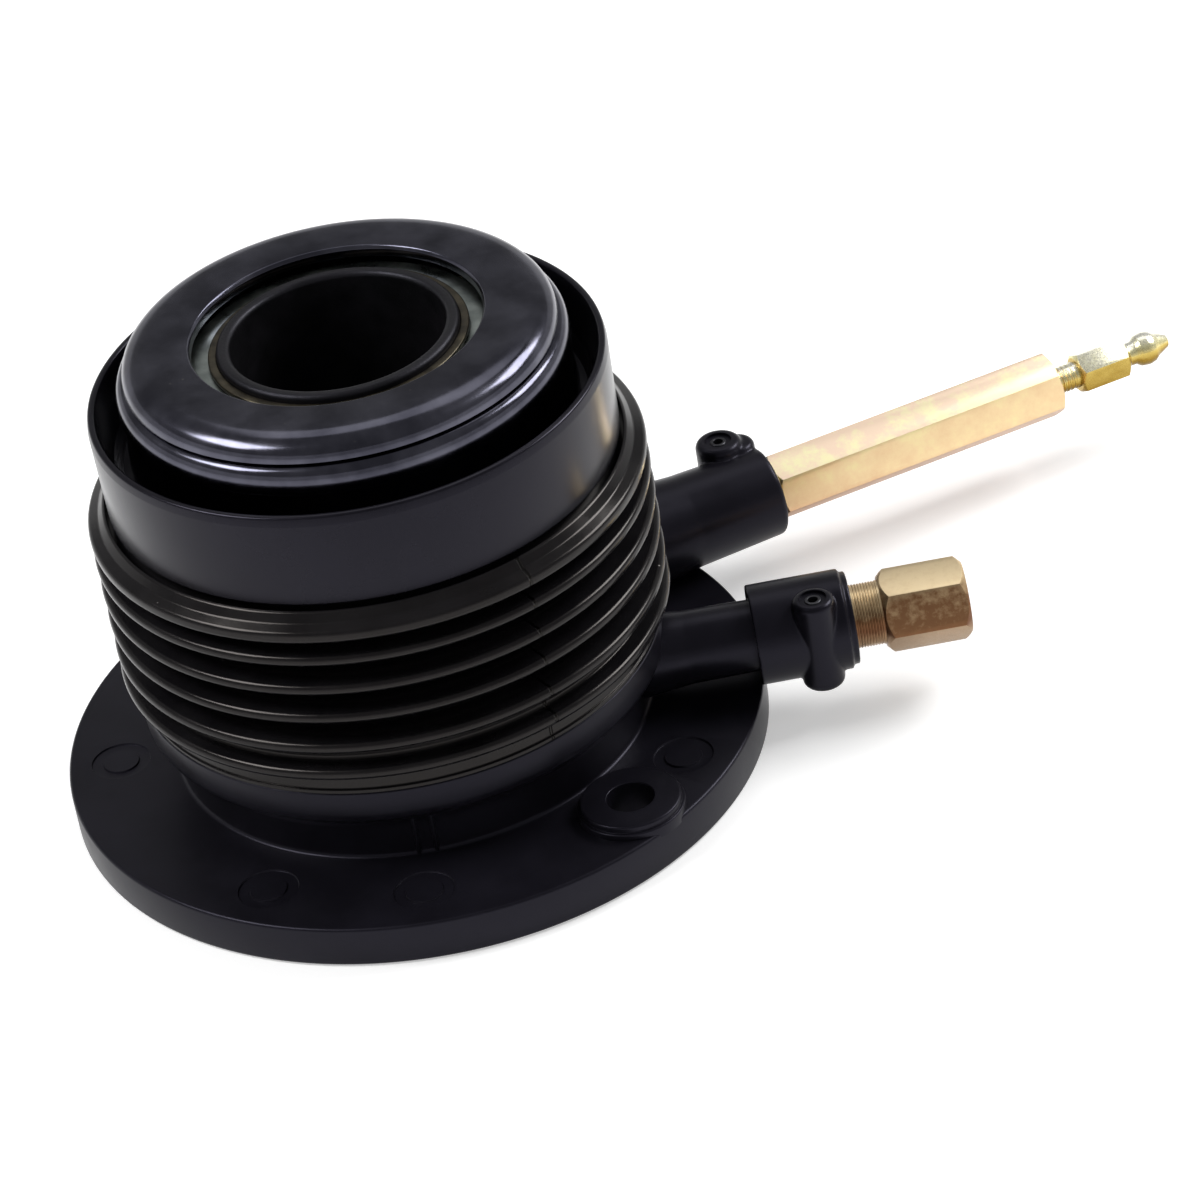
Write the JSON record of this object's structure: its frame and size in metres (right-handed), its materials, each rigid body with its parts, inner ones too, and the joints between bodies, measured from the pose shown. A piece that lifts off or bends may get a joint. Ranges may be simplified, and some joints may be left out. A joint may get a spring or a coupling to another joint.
{
  "type": "clutch slave cylinder",
  "caption": "Concentric clutch slave cylinder: flanged body round a guide sleeve, bellows, sliding piston with release bearing, and line and bleed ports to one side.",
  "frame": {"origin": "centre of the mounting face, on the axis of the guide sleeve", "axes": "+Z along the sleeve axis from the gearbox towards the clutch, +X to the side where the ports leave"},
  "size_m": [0.2104, 0.1282, 0.0886],
  "materials": {
    "moulded_body": "moulded black, satin",
    "moulded_sleeve": "moulded black, fine grain",
    "moulded_piston": "moulded black",
    "carrier_plastic": "moulded black, satin",
    "cage_plastic": "natural nylon",
    "seal_rubber": "plain",
    "bellows_rubber": "glossy moulded",
    "plated_sheet": "zinc plated",
    "spring_steel": "oiled",
    "bearing_steel": "ground",
    "ball_steel": "polished",
    "black_steel": "black oxide, satin",
    "yellow_zinc": "yellow zinc plated"
  },
  "bodies": {
    "body": {"housing": "moulded_body", "guide_sleeve": "moulded_sleeve", "sleeve_oring": "seal_rubber", "spring_seat": "plated_sheet", "preload_spring": "spring_steel", "dust_bellows": "bellows_rubber", "retaining_ring": "spring_steel", "line_adaptor_pin": "spring_steel", "bleed_extension_pin": "spring_steel"},
    "slider": {"piston": "moulded_piston", "piston_seal": "seal_rubber", "bearing_carrier": "carrier_plastic", "preload_washer": "spring_steel", "bearing_inner_ring": "bearing_steel"},
    "turning_ring": {"bearing_outer_ring": "black_steel", "bearing_shield": "seal_rubber"},
    "ball_set": {"bearing_balls": "ball_steel", "bearing_cage": "cage_plastic"},
    "line_fitting": {"line_adaptor": "yellow_zinc", "line_adaptor_oring": "seal_rubber"},
    "bleed_fitting": {"bleed_extension": "yellow_zinc", "bleed_extension_oring": "seal_rubber"},
    "nipple": {"bleed_screw": "yellow_zinc"}
  },
  "joints": [
    {"name": "piston_slide", "type": "slide", "parent": "body", "child": "slider", "axis": [0, 0, 1], "range_m": [-0.015, 0], "stiffness_N_per_m": 2000, "springref_m": 0.02, "deforming": ["preload_spring", "dust_bellows"]},
    {"name": "bearing_spin", "type": "hinge", "parent": "slider", "child": "turning_ring", "pos_m": [0, 0, 0.077], "axis": [0, 0, 1], "continuous": true},
    {"name": "cage_spin", "type": "hinge", "parent": "slider", "child": "ball_set", "pos_m": [0, 0, 0.077], "axis": [0, 0, 1], "continuous": true},
    {"name": "line_fitting_swivel", "type": "hinge", "parent": "body", "child": "line_fitting", "pos_m": [0.07206, -0.00729, 0.016], "axis": [1, 0.0077, 0], "continuous": true},
    {"name": "bleed_fitting_swivel", "type": "hinge", "parent": "body", "child": "bleed_fitting", "pos_m": [0.06386, 0.03588, 0.016], "axis": [0.947, 0.3211, 0], "continuous": true},
    {"name": "bleed_screw_turn", "type": "hinge", "parent": "bleed_fitting", "child": "nipple", "pos_m": [0.12826, 0.05771, 0.016], "axis": [0.947, 0.3211, 0], "range_deg": [0, 180]}
  ],
  "couplings": [
    {"joint": "cage_spin", "follows": "bearing_spin", "ratio": 0.555}
  ]
}
